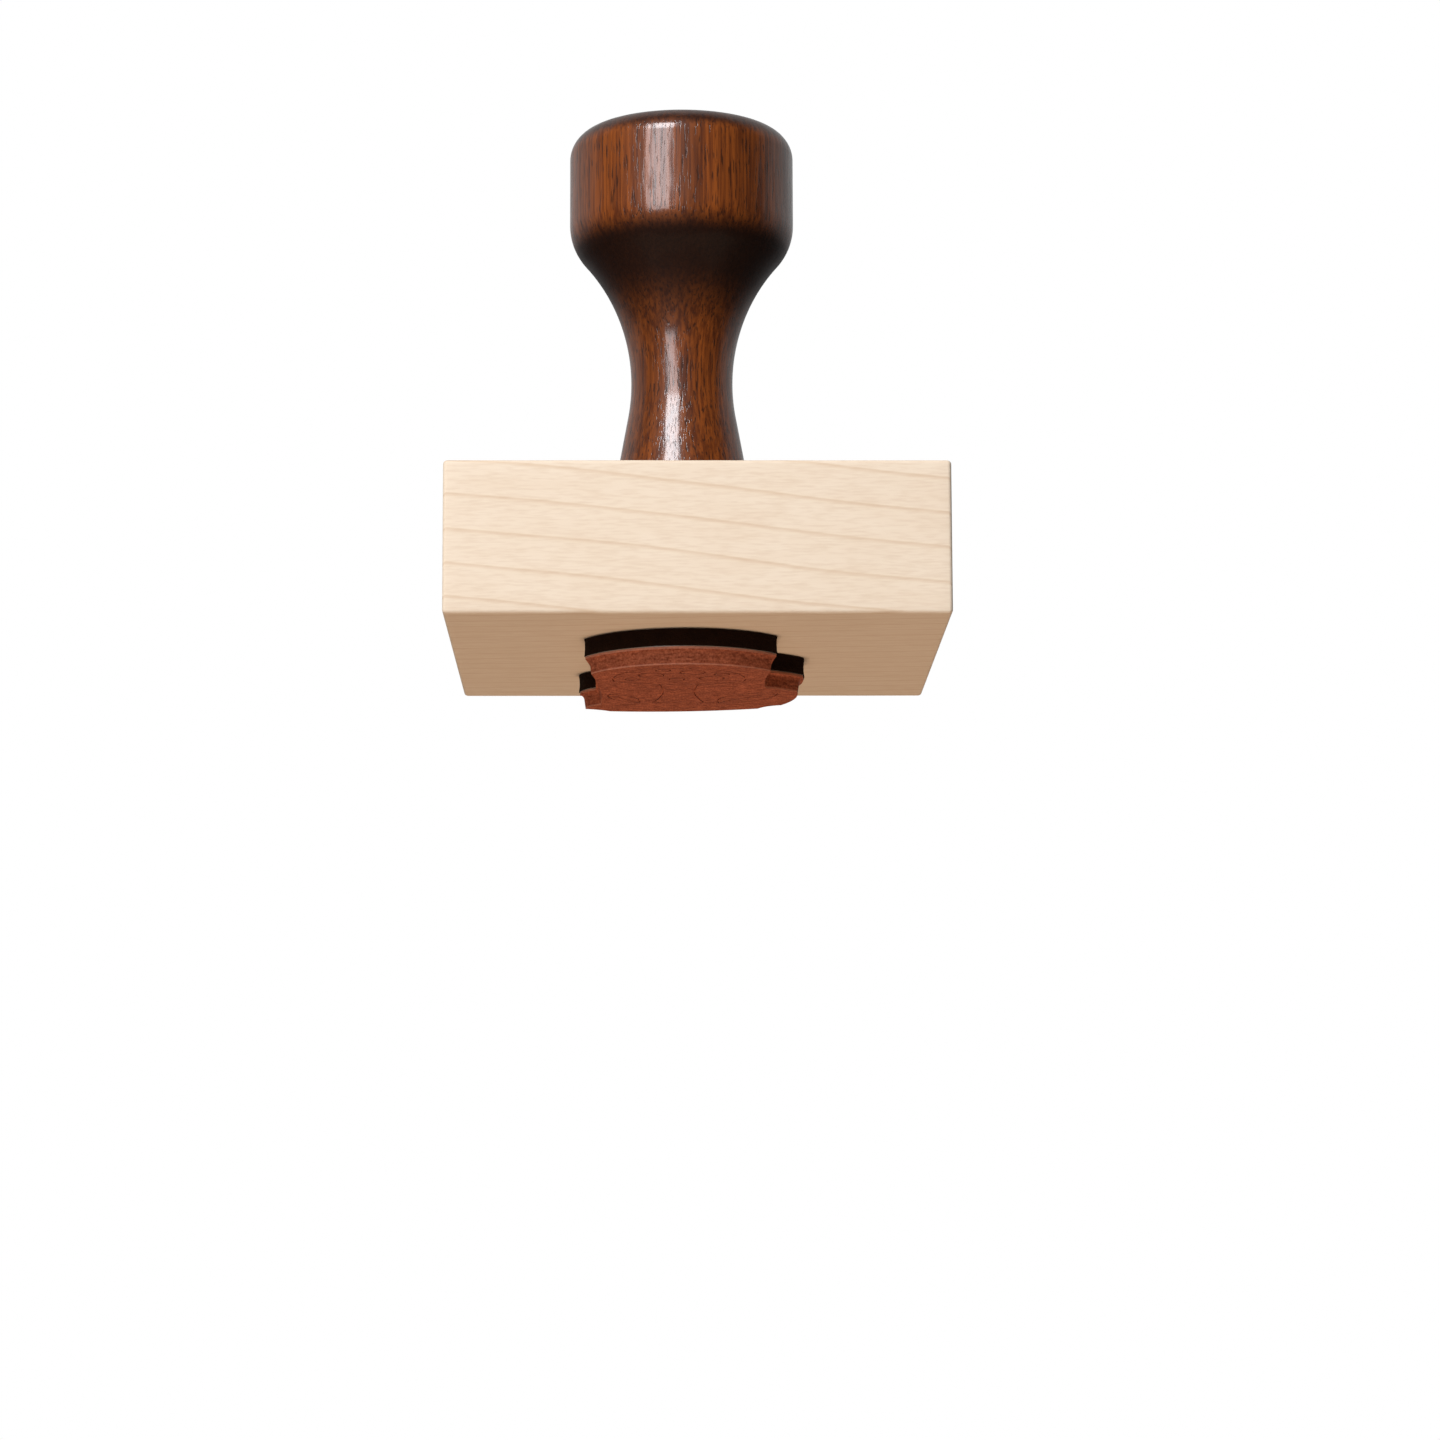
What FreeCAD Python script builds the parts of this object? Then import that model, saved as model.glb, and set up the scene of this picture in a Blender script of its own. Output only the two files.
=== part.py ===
"""Wood-handled craft rubber stamp, as a parametric FreeCAD document.

The stamp stands on its printing face. +Z is up, +Y runs from the front of the block to its back, and the
origin lies under the middle of the block, in the plane of the printing face. Lengths are in millimetres.

From the bottom up it is a rubber die with a fine engraved toadstool, a double-sided adhesive film, a foam
cushion, a second film, a maple block and a turned handle. A countersunk wood screw goes up through the block
into the end grain of the handle, and its head is hidden by the cushion.
"""

import FreeCAD
import Part
import Sketcher

import math
import os

Vector = FreeCAD.Vector

# ---------------------------------------------------------------- driving dimensions, in millimetres

SIZES = [
    # the maple block
    ("block_width", 63.5),
    ("block_depth", 63.5),
    ("block_thickness", 19.5),
    ("block_arris", 0.5),
    # the turned handle, its heights measured from the top of the block
    ("handle_offset", -1.7),
    ("handle_height", 53.0),
    ("foot_diameter", 19.0),
    ("foot_chamfer", 0.4),
    ("flare_radius", 24.7),
    ("waist_height", 17.2),
    ("waist_diameter", 13.45),
    ("neck_radius", 25.4),
    ("shoulder_radius", 7.5),
    ("knob_diameter", 29.8),
    ("crown_edge_radius", 3.6),
    ("crown_radius", 46.0),
    # the wood screw
    ("screw_length", 35.0),
    ("screw_thread_diameter", 4.0),
    ("screw_shank_diameter", 2.8),
    ("screw_core_diameter", 2.5),
    ("screw_thread_length", 21.0),
    ("screw_pitch", 1.8),
    ("screw_point_length", 3.6),
    ("screw_head_diameter", 8.0),
    ("screw_head_rim", 0.35),
    ("drive_span", 4.4),
    ("drive_wing", 0.9),
    ("drive_depth", 1.9),
    # how the screw sits in the block and in the handle
    ("head_recess", 0.8),
    ("screw_clearance", 0.15),
    ("pilot_diameter", 2.6),
    ("pilot_spare_depth", 1.5),
    # the stack under the block
    ("film_thickness", 0.1),
    ("foam_thickness", 2.2),
    ("rubber_thickness", 2.2),
    # the die, whose outline all four layers share
    ("die_width", 30.0),
    ("die_depth", 39.2),
    ("die_offset_x", -0.6),
    ("die_offset_y", -2.3),
    ("film_inset", 0.15),
    ("lip_inset", 0.15),
    ("lip_thickness", 0.3),
    ("throat_inset", 0.75),
    ("cove_height", 0.8),
    ("face_inset", 0.9),
    # the engraved motif
    ("engraving_depth", 0.2),
    ("engraving_width", 0.2),
    ("engraving_border", 0.35),
    ("large_spot_diameter", 3.2),
    ("small_spot_diameter", 1.9),
]

SHEET = "sizes"
SHEET_LABEL_COLUMN = "A"
SHEET_VALUE_COLUMN = "B"

# Expressions for what follows from the driving dimensions. All heights are above the printing face.
FOAM_FLOOR = "sizes.rubber_thickness + sizes.film_thickness"
UPPER_FILM_FLOOR = FOAM_FLOOR + " + sizes.foam_thickness"
BLOCK_UNDERSIDE = UPPER_FILM_FLOOR + " + sizes.film_thickness"
BLOCK_TOP = BLOCK_UNDERSIDE + " + sizes.block_thickness"
SCREW_HEAD_FACE = BLOCK_UNDERSIDE + " + sizes.head_recess"

# The die outline is drawn on a unit square, u from the left edge of the die to its right and v from its
# front to its back. Each entry is a corner, then a point that the arc to the next corner passes through.
# It is trimmed with a bowed front and back, and a wing stands out on each side.
DIE_OUTLINE = [
    ("front_left", (0.040, 0.204), (0.440, 0.000)),
    ("front_right", (0.865, 0.151), (0.850, 0.291)),
    ("wing_root_right", (0.850, 0.464), (0.927, 0.508)),
    ("wing_front_right", (0.995, 0.564), (0.990, 0.722)),
    ("wing_back_right", (0.927, 0.865), (0.867, 0.888)),
    ("back_right", (0.830, 0.936), (0.487, 1.000)),
    ("back_left", (0.127, 0.995), (0.080, 0.964)),
    ("wing_tip_left", (0.002, 0.941), (0.023, 0.865)),
    ("wing_root_left", (0.073, 0.821), (0.072, 0.495)),
]

# The engraved lines, on the same unit square: start, a point on the way, and end.
MOTIF_LINES = [
    ("cap_dome", (0.167, 0.355), (0.447, 0.094), (0.727, 0.355)),
    ("cap_rim", (0.167, 0.355), (0.447, 0.421), (0.727, 0.355)),
    ("stem_left", (0.363, 0.413), (0.377, 0.584), (0.333, 0.783)),
    ("stem_right", (0.530, 0.413), (0.517, 0.584), (0.560, 0.783)),
    ("stem_ring", (0.370, 0.492), (0.447, 0.518), (0.523, 0.492)),
    ("ground_line", (0.160, 0.855), (0.447, 0.778), (0.773, 0.855)),
    ("leaf_front_right", (0.627, 0.793), (0.687, 0.635), (0.880, 0.594)),
    ("leaf_back_right", (0.627, 0.793), (0.813, 0.732), (0.880, 0.594)),
    ("leaf_vein_right", (0.627, 0.793), (0.710, 0.712), (0.807, 0.645)),
    ("leaf_front_left", (0.273, 0.786), (0.247, 0.676), (0.147, 0.605)),
    ("leaf_back_left", (0.273, 0.786), (0.157, 0.717), (0.147, 0.605)),
    ("leaf_vein_left", (0.273, 0.786), (0.217, 0.727), (0.180, 0.666)),
]

# The centres of the ringed spots on the toadstool's cap.
LARGE_SPOTS = [(0.327, 0.235), (0.503, 0.179), (0.587, 0.293)]
SMALL_SPOTS = [(0.437, 0.314), (0.247, 0.314), (0.630, 0.214), (0.377, 0.143)]


# ---------------------------------------------------------------- helpers


def make_sheet(doc):
    """Writes every driving dimension into a spreadsheet, one row each, under its own alias."""
    sheet = doc.addObject("Spreadsheet::Sheet", SHEET)
    for row, (alias, value) in enumerate(SIZES, start=1):
        sheet.set(f"{SHEET_LABEL_COLUMN}{row}", alias.replace("_", " "))
        sheet.set(f"{SHEET_VALUE_COLUMN}{row}", str(value))
        sheet.setAlias(f"{SHEET_VALUE_COLUMN}{row}", alias)
    doc.recompute()
    return sheet


def origin_plane(body, role):
    """The plane of a body's own origin that has this role."""
    return next(feature for feature in body.Origin.OriginFeatures if feature.Role == role)


def new_sketch(body, name, role="XZ_Plane"):
    """An empty sketch on one of the body's own planes. On XZ_Plane, sketch x is X and sketch y is Z."""
    sketch = body.newObject("Sketcher::SketchObject", name)
    sketch.AttachmentSupport = [(origin_plane(body, role), "")]
    sketch.MapMode = "FlatFace"
    return sketch


def bind(sketch, kind, references, expression, name, start_value):
    """Adds a dimension to a sketch and binds it to the spreadsheet."""
    index = sketch.addConstraint(Sketcher.Constraint(kind, *references, start_value))
    sketch.renameConstraint(index, name)
    sketch.setExpression(f"Constraints.{name}", expression)


TOLERANCE = 1e-4
ROOT = (-1, 1)
START = 1
END = 2
CENTRE = 3


def place_vertex(sketch, vertex, x, y, x_expression, y_expression, name):
    """Fixes a vertex at (x, y) from the sketch's origin. An expression of None puts it on that axis."""
    if x_expression is None:
        sketch.addConstraint(Sketcher.Constraint("PointOnObject", *vertex, -2))
    else:
        bind(sketch, "DistanceX", (*ROOT, *vertex), x_expression, f"{name}_x", x)
    if y_expression is None:
        sketch.addConstraint(Sketcher.Constraint("PointOnObject", *vertex, -1))
    else:
        bind(sketch, "DistanceY", (*ROOT, *vertex), y_expression, f"{name}_y", y)


def polygon_sketch(body, name, corners, role="XZ_Plane"):
    """A closed polygon. Each corner is (x, x expression or None, y, y expression or None)."""
    sketch = new_sketch(body, name, role)
    points = [Vector(x, y, 0) for x, _, y, _ in corners]
    for index, point in enumerate(points):
        sketch.addGeometry(Part.LineSegment(point, points[(index + 1) % len(points)]))
    for index, (x, x_expression, y, y_expression) in enumerate(corners):
        before = (index - 1) % len(corners)
        sketch.addConstraint(Sketcher.Constraint("Coincident", before, END, index, START))
        place_vertex(sketch, (index, START), x, y, x_expression, y_expression, f"corner_{index}")
    return sketch


def turned(body, kind, name, sketch):
    """A full turn of a sketch about its own vertical axis: a PartDesign Revolution or Groove."""
    feature = body.newObject(f"PartDesign::{kind}", name)
    feature.Profile = sketch
    feature.ReferenceAxis = (sketch, ["V_Axis"])
    feature.Angle = 360.0
    return feature


def check_cut(before, feature):
    """Stops the build if a groove or pocket took nothing away."""
    if feature.Shape.Volume >= before - 1e-6:
        raise RuntimeError(f"{feature.Label} removed no material")


# ---------------------------------------------------------------- the handle


def handle_outline(size):
    """The points and centres of the turned outline, as (radius, height), where its arcs and lines meet.

    The foot rises in a straight flare that is tangent to the flare arc, which ends at the waist. The neck
    arc starts there, and meets the shoulder arc, which is tangent to the knob's wall. The crown is a flat
    arc about the axis, and a small edge arc joins it to the wall.
    """
    foot = Vector(size("foot_diameter") / 2, 0, 0)
    waist = Vector(size("waist_diameter") / 2, size("waist_height"), 0)
    flare_centre = waist + Vector(size("flare_radius"), 0, 0)
    neck_centre = waist + Vector(size("neck_radius"), 0, 0)
    knob = size("knob_diameter") / 2

    to_foot = foot - flare_centre
    opening = math.acos(size("flare_radius") / to_foot.Length)
    bearing = math.atan2(to_foot.y, to_foot.x) - opening
    flare_start = flare_centre + size("flare_radius") * Vector(math.cos(bearing), math.sin(bearing), 0)

    shoulder_x = knob - size("shoulder_radius")
    reach = size("neck_radius") + size("shoulder_radius")
    rise = math.sqrt(reach**2 - (neck_centre.x - shoulder_x) ** 2)
    shoulder_centre = Vector(shoulder_x, neck_centre.y + rise, 0)
    neck_end = neck_centre + (shoulder_centre - neck_centre) * (size("neck_radius") / reach)

    crown_centre = Vector(0, size("handle_height") - size("crown_radius"), 0)
    edge_x = knob - size("crown_edge_radius")
    edge_reach = size("crown_radius") - size("crown_edge_radius")
    edge_centre = Vector(edge_x, crown_centre.y + math.sqrt(edge_reach**2 - edge_x**2), 0)
    crown_start = crown_centre + (edge_centre - crown_centre) * (size("crown_radius") / edge_reach)

    return {
        "foot": foot,
        "flare_start": flare_start,
        "flare_centre": flare_centre,
        "waist": waist,
        "neck_centre": neck_centre,
        "neck_end": neck_end,
        "shoulder_centre": shoulder_centre,
        "wall_bottom": Vector(knob, shoulder_centre.y, 0),
        "wall_top": Vector(knob, edge_centre.y, 0),
        "edge_centre": edge_centre,
        "crown_start": crown_start,
        "crown_centre": crown_centre,
        "apex": Vector(0, size("handle_height"), 0),
    }


def arc_between(centre, first, last):
    """The shorter arc about centre that joins two points, drawn anticlockwise as a sketch needs it."""
    angles = [math.atan2(point.y - centre.y, point.x - centre.x) for point in (first, last)]
    circle = Part.Circle(centre, Vector(0, 0, 1), (first - centre).Length)
    turn = (angles[1] - angles[0]) % (2 * math.pi)
    if turn > math.pi:
        angles.reverse()
    return Part.ArcOfCircle(circle, angles[0], angles[1])


def handle_sketch(body, size):
    """The half outline of the handle, constrained by tangency and bound to the spreadsheet."""
    at = handle_outline(size)
    zero = Vector(0, 0, 0)
    sketch = new_sketch(body, "handle_outline")
    base, flare, low, neck, shoulder, wall, edge, crown, axis = range(9)
    sketch.addGeometry(Part.LineSegment(zero, at["foot"]))
    sketch.addGeometry(Part.LineSegment(at["foot"], at["flare_start"]))
    sketch.addGeometry(arc_between(at["flare_centre"], at["waist"], at["flare_start"]))
    sketch.addGeometry(arc_between(at["neck_centre"], at["neck_end"], at["waist"]))
    sketch.addGeometry(arc_between(at["shoulder_centre"], at["neck_end"], at["wall_bottom"]))
    sketch.addGeometry(Part.LineSegment(at["wall_bottom"], at["wall_top"]))
    sketch.addGeometry(arc_between(at["edge_centre"], at["wall_top"], at["crown_start"]))
    sketch.addGeometry(arc_between(at["crown_centre"], at["crown_start"], at["apex"]))
    sketch.addGeometry(Part.LineSegment(at["apex"], zero))

    # Arcs run anticlockwise, so the flare and neck arcs start at their upper ends and the others at their
    # lower ends.
    joints = [
        ("Coincident", base, START, *ROOT),
        ("Coincident", base, END, flare, START),
        ("Tangent", flare, END, low, END),
        ("Tangent", low, START, neck, END),
        ("Tangent", neck, START, shoulder, START),
        ("Tangent", shoulder, END, wall, START),
        ("Tangent", wall, END, edge, START),
        ("Tangent", edge, END, crown, START),
        ("Coincident", crown, END, axis, START),
        ("Coincident", axis, END, *ROOT),
        ("PointOnObject", base, END, -1),
        ("Vertical", axis),
        ("PointOnObject", crown, CENTRE, -2),
        ("Horizontal", low, CENTRE, low, START),
    ]
    for joint in joints:
        sketch.addConstraint(Sketcher.Constraint(*joint))

    radii = [
        (low, "flare_radius"),
        (neck, "neck_radius"),
        (shoulder, "shoulder_radius"),
        (edge, "crown_edge_radius"),
        (crown, "crown_radius"),
    ]
    for arc, alias in radii:
        bind(sketch, "Radius", (arc,), f"sizes.{alias}", f"r_{alias}", size(alias))
    foot = "sizes.foot_diameter / 2"
    waist = "sizes.waist_diameter / 2"
    knob = "sizes.knob_diameter / 2"
    bind(sketch, "DistanceX", (*ROOT, base, END), foot, "foot", at["foot"].x)
    bind(sketch, "DistanceX", (*ROOT, low, START), waist, "waist_x", at["waist"].x)
    bind(sketch, "DistanceY", (*ROOT, low, START), "sizes.waist_height", "waist_y", at["waist"].y)
    bind(sketch, "DistanceX", (*ROOT, wall, START), knob, "knob", at["wall_bottom"].x)
    bind(sketch, "DistanceY", (*ROOT, crown, END), "sizes.handle_height", "height", at["apex"].y)
    return sketch


def make_handle(doc, size):
    """The turned handle: one revolution, a small chamfer round the foot, and a drilled pilot hole."""
    body = doc.addObject("PartDesign::Body", "handle")
    turning = turned(body, "Revolution", "handle_turning", handle_sketch(body, size))
    doc.recompute()

    rims = [
        f"Edge{index}"
        for index, edge in enumerate(turning.Shape.Edges, start=1)
        if edge.BoundBox.ZMax < TOLERANCE
    ]
    chamfer = body.newObject("PartDesign::Chamfer", "foot_edge")
    chamfer.Base = (turning, rims)
    chamfer.setExpression("Size", "sizes.foot_chamfer")
    doc.recompute()

    # The pilot is as deep as the screw reaches into the handle, with some to spare, and ends in a drill
    # point as high as the drill's radius over the square root of three, which is a 120 degree point.
    reach = "sizes.screw_length + sizes.head_recess - sizes.block_thickness + sizes.pilot_spare_depth"
    radius = "sizes.pilot_diameter / 2"
    depth = size("screw_length") + size("head_recess") - size("block_thickness") + size("pilot_spare_depth")
    bore = size("pilot_diameter") / 2
    tip = bore / math.sqrt(3)
    corners = [
        (0, None, 0, None),
        (bore, radius, 0, None),
        (bore, radius, depth, reach),
        (0, None, depth + tip, f"{reach} + {radius} / sqrt(3)"),
    ]
    drilled = turned(body, "Groove", "pilot_hole", polygon_sketch(body, "pilot_outline", corners))
    doc.recompute()
    check_cut(chamfer.Shape.Volume, drilled)
    body.setExpression("Placement.Base.x", "sizes.handle_offset")
    body.setExpression("Placement.Base.z", BLOCK_TOP)
    return body


# ---------------------------------------------------------------- the block


def make_block(doc, size):
    """The maple block: a pad with broken edges, and a countersunk clearance hole for the handle's screw."""
    body = doc.addObject("PartDesign::Body", "mount_block")
    half_width = size("block_width") / 2
    half_depth = size("block_depth") / 2
    right = "sizes.block_width / 2"
    back = "sizes.block_depth / 2"
    corners = [
        (-half_width, f"-{right}", -half_depth, f"-{back}"),
        (half_width, right, -half_depth, f"-{back}"),
        (half_width, right, half_depth, back),
        (-half_width, f"-{right}", half_depth, back),
    ]
    pad = body.newObject("PartDesign::Pad", "block_pad")
    pad.Profile = polygon_sketch(body, "block_outline", corners, "XY_Plane")
    pad.setExpression("Length", "sizes.block_thickness")
    doc.recompute()

    arris = body.newObject("PartDesign::Fillet", "broken_edges")
    arris.Base = (pad, [f"Edge{index + 1}" for index in range(len(pad.Shape.Edges))])
    arris.setExpression("Radius", "sizes.block_arris")
    doc.recompute()

    # Bottom to top: the well round the sunk head, the cone that the head's underside seats in, which is
    # the head's own 90 degree cone carried out to the well's wall, and the plain clearance hole.
    gap = size("screw_clearance")
    head = size("screw_head_diameter") / 2
    hole = size("screw_thread_diameter") / 2 + gap
    seat = size("head_recess") + size("screw_head_rim")
    head_radius = "sizes.screw_head_diameter / 2"
    well_radius = f"{head_radius} + sizes.screw_clearance"
    hole_radius = "sizes.screw_thread_diameter / 2 + sizes.screw_clearance"
    seat_height = "sizes.head_recess + sizes.screw_head_rim"
    corners = [
        (0, None, 0, None),
        (head + gap, well_radius, 0, None),
        (head + gap, well_radius, seat - gap, f"{seat_height} - sizes.screw_clearance"),
        (hole, hole_radius, seat + head - hole, f"{seat_height} + {head_radius} - ({hole_radius})"),
        (hole, hole_radius, size("block_thickness"), "sizes.block_thickness"),
        (0, None, size("block_thickness"), "sizes.block_thickness"),
    ]
    sketch = polygon_sketch(body, "screw_hole_outline", corners)
    sketch.setExpression("AttachmentOffset.Base.x", "sizes.handle_offset")
    drilled = turned(body, "Groove", "screw_hole", sketch)
    doc.recompute()
    check_cut(arris.Shape.Volume, drilled)
    body.setExpression("Placement.Base.z", BLOCK_UNDERSIDE)
    return body


# ---------------------------------------------------------------- the screw


def make_screw(doc, size):
    """A countersunk wood screw, point up: turned blank, helical thread and a cross recess in its head."""
    body = doc.addObject("PartDesign::Body", "handle_screw")
    head = size("screw_head_diameter") / 2
    shank = size("screw_shank_diameter") / 2
    core = size("screw_core_diameter") / 2
    rim = size("screw_head_rim")
    length = size("screw_length")
    thread_start = length - size("screw_thread_length")
    point_start = length - size("screw_point_length")
    head_r = "sizes.screw_head_diameter / 2"
    shank_r = "sizes.screw_shank_diameter / 2"
    core_r = "sizes.screw_core_diameter / 2"
    thread_z = "sizes.screw_length - sizes.screw_thread_length"
    point_z = "sizes.screw_length - sizes.screw_point_length"
    step = shank - core
    corners = [
        (0, None, 0, None),
        (head, head_r, 0, None),
        (head, head_r, rim, "sizes.screw_head_rim"),
        (shank, shank_r, rim + head - shank, f"sizes.screw_head_rim + {head_r} - {shank_r}"),
        (shank, shank_r, thread_start - step, f"{thread_z} - ({shank_r} - {core_r})"),
        (core, core_r, thread_start, thread_z),
        (core, core_r, point_start, point_z),
        (0, None, length, "sizes.screw_length"),
    ]
    blank = turned(body, "Revolution", "screw_blank", polygon_sketch(body, "screw_outline", corners))
    doc.recompute()

    # The thread's section: a narrow ridge that starts inside the core and ends in a small flat crest.
    crest = size("screw_thread_diameter") / 2
    root = core * 0.9
    pitch = size("screw_pitch")
    root_r = f"{core_r} * 0.9"
    crest_r = "sizes.screw_thread_diameter / 2"
    ridge = [
        (root, root_r, thread_start, thread_z),
        (crest, crest_r, thread_start + pitch * 0.20, f"{thread_z} + sizes.screw_pitch * 0.20"),
        (crest, crest_r, thread_start + pitch * 0.26, f"{thread_z} + sizes.screw_pitch * 0.26"),
        (root, root_r, thread_start + pitch * 0.46, f"{thread_z} + sizes.screw_pitch * 0.46"),
    ]
    section = polygon_sketch(body, "thread_outline", ridge)
    thread = body.newObject("PartDesign::AdditiveHelix", "screw_thread")
    thread.Profile = section
    thread.ReferenceAxis = (section, ["V_Axis"])
    thread.Mode = "pitch-height-angle"
    run = "sizes.screw_thread_length - sizes.screw_point_length - sizes.screw_pitch / 2"
    thread.setExpression("Pitch", "sizes.screw_pitch")
    thread.setExpression("Height", run)
    doc.recompute()
    if thread.Shape.Volume <= blank.Shape.Volume:
        raise RuntimeError("the screw's thread added no material")

    # The cross recess, cut upwards from the face of the head.
    span = size("drive_span") / 2
    wing = size("drive_wing") / 2
    out = "sizes.drive_span / 2"
    half = "sizes.drive_wing / 2"
    quarter = [(span, out, -wing, f"-{half}"), (span, out, wing, half), (wing, half, wing, half)]
    corners = []
    for _ in range(4):
        corners += quarter
        quarter = [turn_quarter(corner) for corner in quarter]
    recess = body.newObject("PartDesign::Pocket", "drive_recess")
    recess.Profile = polygon_sketch(body, "drive_outline", corners, "XY_Plane")
    recess.setExpression("Length", "sizes.drive_depth")
    recess.Reversed = True
    doc.recompute()
    check_cut(thread.Shape.Volume, recess)
    body.setExpression("Placement.Base.x", "sizes.handle_offset")
    body.setExpression("Placement.Base.z", SCREW_HEAD_FACE)
    return body


def turn_quarter(corner):
    """A polygon corner turned by 90 degrees about the origin, with its expressions: (x, y) to (-y, x)."""
    x, x_expression, y, y_expression = corner
    turned_x = y_expression[1:] if y_expression.startswith("-") else f"-{y_expression}"
    return (-y, turned_x, x, x_expression)


# ---------------------------------------------------------------- the die and what holds it


def die_point(size, spot):
    """A point of the unit square in millimetres."""
    u, v = spot
    x = size("die_offset_x") + (u - 0.5) * size("die_width")
    y = size("die_offset_y") + (v - 0.5) * size("die_depth")
    return Vector(x, y, 0)


def die_expressions(spot):
    """The spreadsheet expressions for a point of the unit square."""
    u, v = spot
    x = f"sizes.die_offset_x + ({u} - 0.5) * sizes.die_width"
    y = f"sizes.die_offset_y + ({v} - 0.5) * sizes.die_depth"
    return x, y


def arc_through(first, middle, last):
    """The arc through three points, and whether a sketch, which turns it anticlockwise, reverses it."""
    clockwise = (middle - first).cross(last - middle).z < 0
    if clockwise:
        return Part.Arc(last, middle, first), clockwise
    return Part.Arc(first, middle, last), clockwise


def make_outline(doc, size):
    """The outline that every layer is cut to: arcs between fixed corners."""
    sketch = doc.addObject("Sketcher::SketchObject", "die_outline")
    count = len(DIE_OUTLINE)
    ends = []
    for index, (_, corner, middle) in enumerate(DIE_OUTLINE):
        following = DIE_OUTLINE[(index + 1) % count][1]
        arc, clockwise = arc_through(*[die_point(size, spot) for spot in (corner, middle, following)])
        sketch.addGeometry(arc)
        ends.append((END, START) if clockwise else (START, END))
    for index, (name, corner, _) in enumerate(DIE_OUTLINE):
        before = (index - 1) % count
        sketch.addConstraint(
            Sketcher.Constraint("Coincident", before, ends[before][1], index, ends[index][0])
        )
        at = die_point(size, corner)
        place_vertex(sketch, (index, ends[index][0]), at.x, at.y, *die_expressions(corner), name)
    for index, (name, _, middle) in enumerate(DIE_OUTLINE):
        at = die_point(size, middle)
        point = sketch.addGeometry(Part.Point(at), True)
        place_vertex(sketch, (point, START), at.x, at.y, *die_expressions(middle), f"{name}_bow")
        sketch.addConstraint(Sketcher.Constraint("PointOnObject", point, START, index))
    doc.recompute()
    return sketch


def inset_outline(doc, outline, name, inset, height="0"):
    """The die outline moved inwards, at a height above the printing face.

    Its inward corners come out rounded to the same distance, and its outward corners stay sharp.
    """
    line = doc.addObject("Part::Offset2D", name)
    line.Source = outline
    line.Join = "Arc"
    line.setExpression("Value", f"-({inset})")
    line.setExpression("Placement.Base.z", height)
    return line


def layer(doc, base, name, thickness, floor="0"):
    """A flat layer cut to an outline: its thickness and the height of its floor are expressions."""
    slab = doc.addObject("Part::Extrusion", name)
    slab.Base = base
    slab.DirMode = "Normal"
    slab.Solid = True
    slab.setExpression("LengthFwd", thickness)
    slab.setExpression("Placement.Base.z", floor)
    return slab


def make_rubber_die(doc, outline, size):
    """The rubber die: a lip under the cushion, a coved wall that narrows to a throat, and the engraving.

    The wall is a ruled loft from the printing face up to the lip. Its cove is a quarter of an ellipse,
    upright at the throat and level under the lip, drawn as a section every 15 degrees.
    """
    lip_floor = "(sizes.rubber_thickness - sizes.lip_thickness)"
    sections = [inset_outline(doc, outline, "face_line", "sizes.face_inset")]
    for angle in range(0, 91, 15):
        inset = f"sizes.lip_inset + (sizes.throat_inset - sizes.lip_inset) * cos({angle} deg)"
        height = f"{lip_floor} - sizes.cove_height * (1 - sin({angle} deg))"
        sections.append(inset_outline(doc, outline, f"cove_line_{angle}", inset, height))
    wall = doc.addObject("Part::Loft", "die_wall")
    wall.Sections = sections
    wall.Solid = True
    wall.Ruled = True
    lip_line = inset_outline(doc, outline, "lip_line", "sizes.lip_inset")
    lip = layer(doc, lip_line, "die_lip", "sizes.lip_thickness", lip_floor)
    blank = doc.addObject("Part::MultiFuse", "die_blank")
    blank.Shapes = [wall, lip]

    # The motif is kept a border's width inside the face's edge, so no line breaks out through the wall.
    field_line = inset_outline(doc, outline, "field_line", "sizes.face_inset + sizes.engraving_border")
    field = layer(doc, field_line, "engraving_field", "sizes.engraving_depth")
    motif = doc.addObject("Part::Feature", "motif")
    motif.Shape = engraved_motif(size)
    engraving = doc.addObject("Part::Common", "engraving")
    engraving.Base = motif
    engraving.Tool = field
    die = doc.addObject("Part::Cut", "rubber_die")
    die.Base = blank
    die.Tool = engraving
    doc.recompute()
    check_cut(blank.Shape.Volume, die)
    return die


def engraved_motif(size):
    """The engraved lines and ringed spots as one solid, standing up from the printing face."""
    half = size("engraving_width") / 2
    faces = []
    for _, first, middle, last in MOTIF_LINES:
        arc = Part.Arc(*[die_point(size, spot) for spot in (first, middle, last)])
        groove = Part.Wire([arc.toShape()]).makeOffset2D(half, 0, False, False, True)
        faces.append(Part.Face(groove))
    for spots, diameter in ((LARGE_SPOTS, "large_spot_diameter"), (SMALL_SPOTS, "small_spot_diameter")):
        for spot in spots:
            disc, core = [
                Part.Face(Part.Wire([Part.Circle(die_point(size, spot), Vector(0, 0, 1), radius).toShape()]))
                for radius in (size(diameter) / 2 + half, size(diameter) / 2 - half)
            ]
            faces.append(disc.cut(core))
    depth = Vector(0, 0, size("engraving_depth"))
    grooves = [face.extrude(depth) for face in faces]
    return grooves[0].multiFuse(grooves[1:]).removeSplitter()


def make_die_stack(doc, size):
    """The four layers under the block, all cut to one outline. The films stop just short of its edge."""
    outline = make_outline(doc, size)
    film_line = inset_outline(doc, outline, "film_line", "sizes.film_inset")
    return [
        make_rubber_die(doc, outline, size),
        layer(doc, film_line, "die_film", "sizes.film_thickness", "sizes.rubber_thickness"),
        layer(doc, outline, "foam_cushion", "sizes.foam_thickness", FOAM_FLOOR),
        layer(doc, film_line, "block_film", "sizes.film_thickness", UPPER_FILM_FLOOR),
    ]


# ---------------------------------------------------------------- build, check and write


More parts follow.
